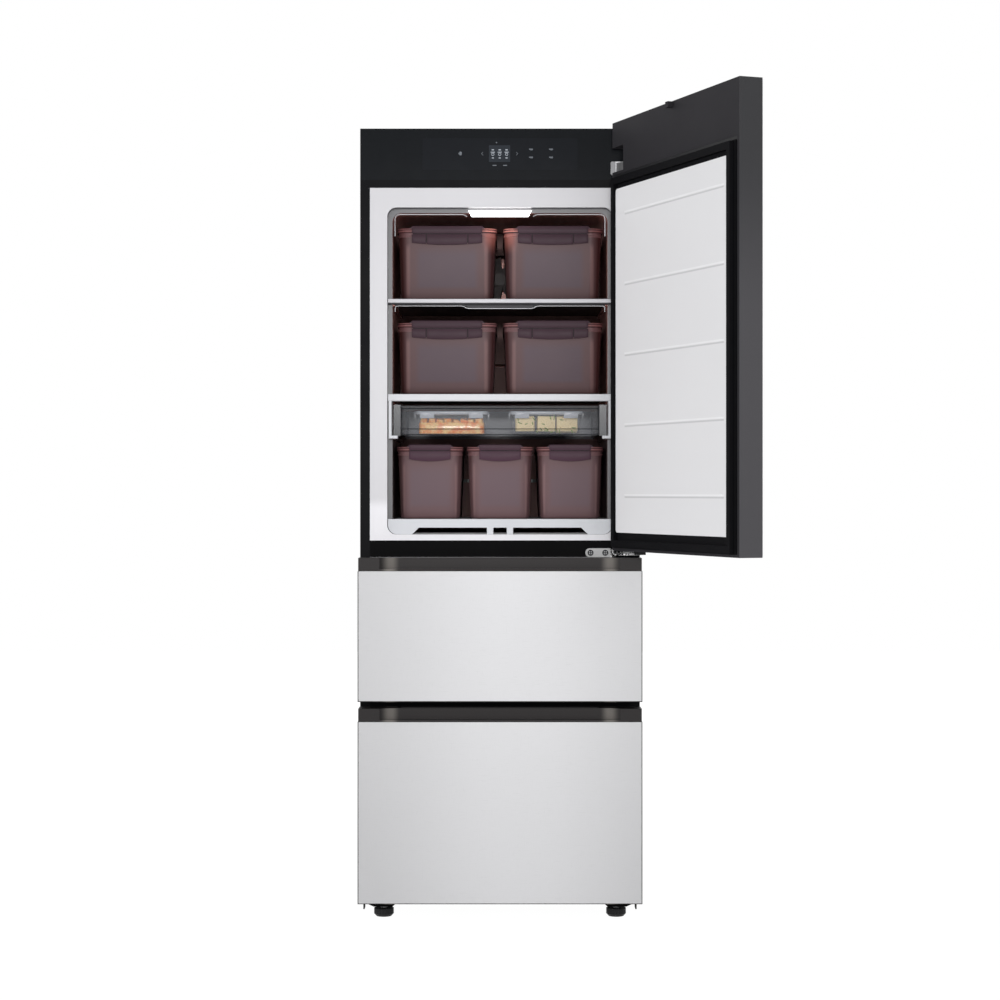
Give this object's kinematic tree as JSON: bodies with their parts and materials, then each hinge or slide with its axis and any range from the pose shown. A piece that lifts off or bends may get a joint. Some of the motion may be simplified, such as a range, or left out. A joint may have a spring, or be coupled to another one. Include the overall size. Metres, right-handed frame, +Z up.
{
  "type": "kimchi refrigerator",
  "caption": "Tall stand-type refrigerator: an upper compartment with shelves and lidded containers behind a right-hinged door, above two pull-out drawers.",
  "frame": {"origin": "on the floor, at the middle of the width, in the plane of the cabinet's front flange", "axes": "+Z up, -Y out of the front, +X to the right as seen from the front"},
  "size_m": [0.8831, 1.3151, 1.8785],
  "materials": {
    "wrap_steel": "satin",
    "back_steel": "satin",
    "frame_steel": "matte",
    "foam": "matte",
    "white_liner": "satin",
    "fascia": "gloss",
    "touch_glass": "gloss",
    "hinge_steel": "satin",
    "slide_steel": "satin",
    "lamp": "gloss",
    "shelf_silver": "satin",
    "shelf_white": "satin",
    "duct_grey": "matte",
    "evaporator_metal": "satin",
    "fan_plastic": "matte",
    "compressor_steel": "satin",
    "foot_plastic": "matte",
    "white_panel": "satin",
    "dark_frame": "satin",
    "gasket": "matte",
    "bin_plastic": "gloss",
    "smoke_plastic": "gloss",
    "container_plastic": "gloss",
    "lid_plastic": "gloss"
  },
  "bodies": {
    "cabinet": {"outer_wrap": "wrap_steel", "back_cover": "back_steel", "machine_cover": "back_steel", "base_frame": "frame_steel", "insulation": "foam", "upper_liner": "white_liner", "drawer_liners": "white_liner", "crossbars": "frame_steel", "control_housing": "fascia", "control_glass": "touch_glass", "upper_hinge": "hinge_steel", "lower_hinge": "hinge_steel", "hinge_screws": "hinge_steel", "lamp_lens": "lamp", "upper_shelf": "shelf_silver", "lower_shelf": "shelf_white", "base_tray": "shelf_white", "duct_panel": "duct_grey", "evaporator": "evaporator_metal", "compressor": "compressor_steel", "cabinet_rails": "slide_steel"},
    "door": {"door_panel": "white_panel", "door_frame": "dark_frame", "door_liner": "white_liner", "door_gasket": "gasket", "door_hinge_plate": "hinge_steel"},
    "middle_drawer": {"middle_panel": "white_panel", "middle_frame": "dark_frame", "middle_inner": "white_liner", "middle_gasket": "gasket", "middle_bin": "bin_plastic", "middle_rails": "slide_steel"},
    "middle_slide_members": {"middle_slides": "slide_steel"},
    "lower_drawer": {"lower_panel": "white_panel", "lower_frame": "dark_frame", "lower_inner": "white_liner", "lower_gasket": "gasket", "lower_bin": "bin_plastic", "lower_rails": "slide_steel"},
    "lower_slide_members": {"lower_slides": "slide_steel"},
    "tray": {"sliding_tray": "smoke_plastic"},
    "fan": {"evaporator_fan": "fan_plastic"},
    "foot_left": {"left_foot": "foot_plastic"},
    "foot_right": {"right_foot": "foot_plastic"},
    "roller_left": {"left_roller": "foot_plastic"},
    "roller_right": {"right_roller": "foot_plastic"},
    "top_left_container": {"top_left_box": "container_plastic"},
    "top_left_cover": {"top_left_lid": "lid_plastic"},
    "top_right_container": {"top_right_box": "container_plastic"},
    "top_right_cover": {"top_right_lid": "lid_plastic"},
    "middle_left_container": {"middle_left_box": "container_plastic"},
    "middle_left_cover": {"middle_left_lid": "lid_plastic"},
    "middle_right_container": {"middle_right_box": "container_plastic"},
    "middle_right_cover": {"middle_right_lid": "lid_plastic"},
    "bottom_left_container": {"bottom_left_box": "container_plastic"},
    "bottom_left_cover": {"bottom_left_lid": "lid_plastic"},
    "bottom_centre_container": {"bottom_centre_box": "container_plastic"},
    "bottom_centre_cover": {"bottom_centre_lid": "lid_plastic"},
    "bottom_right_container": {"bottom_right_box": "container_plastic"},
    "bottom_right_cover": {"bottom_right_lid": "lid_plastic"}
  },
  "joints": [
    {"name": "door_hinge", "type": "hinge", "parent": "cabinet", "child": "door", "pos_m": [0.302, -0.044, 1.3], "axis": [0, 0, 1], "range_deg": [-110.8, 9.2]},
    {"name": "middle_drawer_travel", "type": "slide", "parent": "cabinet", "child": "middle_drawer", "axis": [0, -1, 0], "range_m": [0, 0.4]},
    {"name": "middle_slide_travel", "type": "slide", "parent": "cabinet", "child": "middle_slide_members", "axis": [0, -1, 0], "range_m": [0, 0.2]},
    {"name": "lower_drawer_travel", "type": "slide", "parent": "cabinet", "child": "lower_drawer", "axis": [0, -1, 0], "range_m": [0, 0.4]},
    {"name": "lower_slide_travel", "type": "slide", "parent": "cabinet", "child": "lower_slide_members", "axis": [0, -1, 0], "range_m": [0, 0.2]},
    {"name": "tray_travel", "type": "slide", "parent": "cabinet", "child": "tray", "axis": [0, -1, 0], "range_m": [0, 0.3]},
    {"name": "fan_spin", "type": "hinge", "parent": "cabinet", "child": "fan", "pos_m": [0, 0.5, 1.56], "axis": [0, 1, 0], "continuous": true},
    {"name": "left_foot_turn", "type": "hinge", "parent": "cabinet", "child": "foot_left", "pos_m": [-0.277, 0.046, 0.03], "axis": [0, 0, 1], "continuous": true},
    {"name": "right_foot_turn", "type": "hinge", "parent": "cabinet", "child": "foot_right", "pos_m": [0.277, 0.046, 0.03], "axis": [0, 0, 1], "continuous": true},
    {"name": "left_roller_spin", "type": "hinge", "parent": "cabinet", "child": "roller_left", "pos_m": [-0.27, 0.615, 0.02], "axis": [1, 0, 0], "continuous": true},
    {"name": "right_roller_spin", "type": "hinge", "parent": "cabinet", "child": "roller_right", "pos_m": [0.27, 0.615, 0.02], "axis": [1, 0, 0], "continuous": true},
    {"name": "top_left_container_travel", "type": "slide", "parent": "cabinet", "child": "top_left_container", "axis": [0, -1, 0], "range_m": [0, 0.3]},
    {"name": "top_left_lid_lift", "type": "slide", "parent": "top_left_container", "child": "top_left_cover", "axis": [0, 0, 1], "range_m": [0, 0.012]},
    {"name": "top_right_container_travel", "type": "slide", "parent": "cabinet", "child": "top_right_container", "axis": [0, -1, 0], "range_m": [0, 0.3]},
    {"name": "top_right_lid_lift", "type": "slide", "parent": "top_right_container", "child": "top_right_cover", "axis": [0, 0, 1], "range_m": [0, 0.012]},
    {"name": "middle_left_container_travel", "type": "slide", "parent": "cabinet", "child": "middle_left_container", "axis": [0, -1, 0], "range_m": [0, 0.3]},
    {"name": "middle_left_lid_lift", "type": "slide", "parent": "middle_left_container", "child": "middle_left_cover", "axis": [0, 0, 1], "range_m": [0, 0.012]},
    {"name": "middle_right_container_travel", "type": "slide", "parent": "cabinet", "child": "middle_right_container", "axis": [0, -1, 0], "range_m": [0, 0.3]},
    {"name": "middle_right_lid_lift", "type": "slide", "parent": "middle_right_container", "child": "middle_right_cover", "axis": [0, 0, 1], "range_m": [0, 0.012]},
    {"name": "bottom_left_container_travel", "type": "slide", "parent": "cabinet", "child": "bottom_left_container", "axis": [0, -1, 0], "range_m": [0, 0.3]},
    {"name": "bottom_left_lid_lift", "type": "slide", "parent": "bottom_left_container", "child": "bottom_left_cover", "axis": [0, 0, 1], "range_m": [0, 0.012]},
    {"name": "bottom_centre_container_travel", "type": "slide", "parent": "cabinet", "child": "bottom_centre_container", "axis": [0, -1, 0], "range_m": [0, 0.3]},
    {"name": "bottom_centre_lid_lift", "type": "slide", "parent": "bottom_centre_container", "child": "bottom_centre_cover", "axis": [0, 0, 1], "range_m": [0, 0.012]},
    {"name": "bottom_right_container_travel", "type": "slide", "parent": "cabinet", "child": "bottom_right_container", "axis": [0, -1, 0], "range_m": [0, 0.3]},
    {"name": "bottom_right_lid_lift", "type": "slide", "parent": "bottom_right_container", "child": "bottom_right_cover", "axis": [0, 0, 1], "range_m": [0, 0.012]}
  ],
  "couplings": [
    {"joint": "middle_slide_travel", "follows": "middle_drawer_travel", "ratio": 0.5},
    {"joint": "lower_slide_travel", "follows": "lower_drawer_travel", "ratio": 0.5}
  ]
}
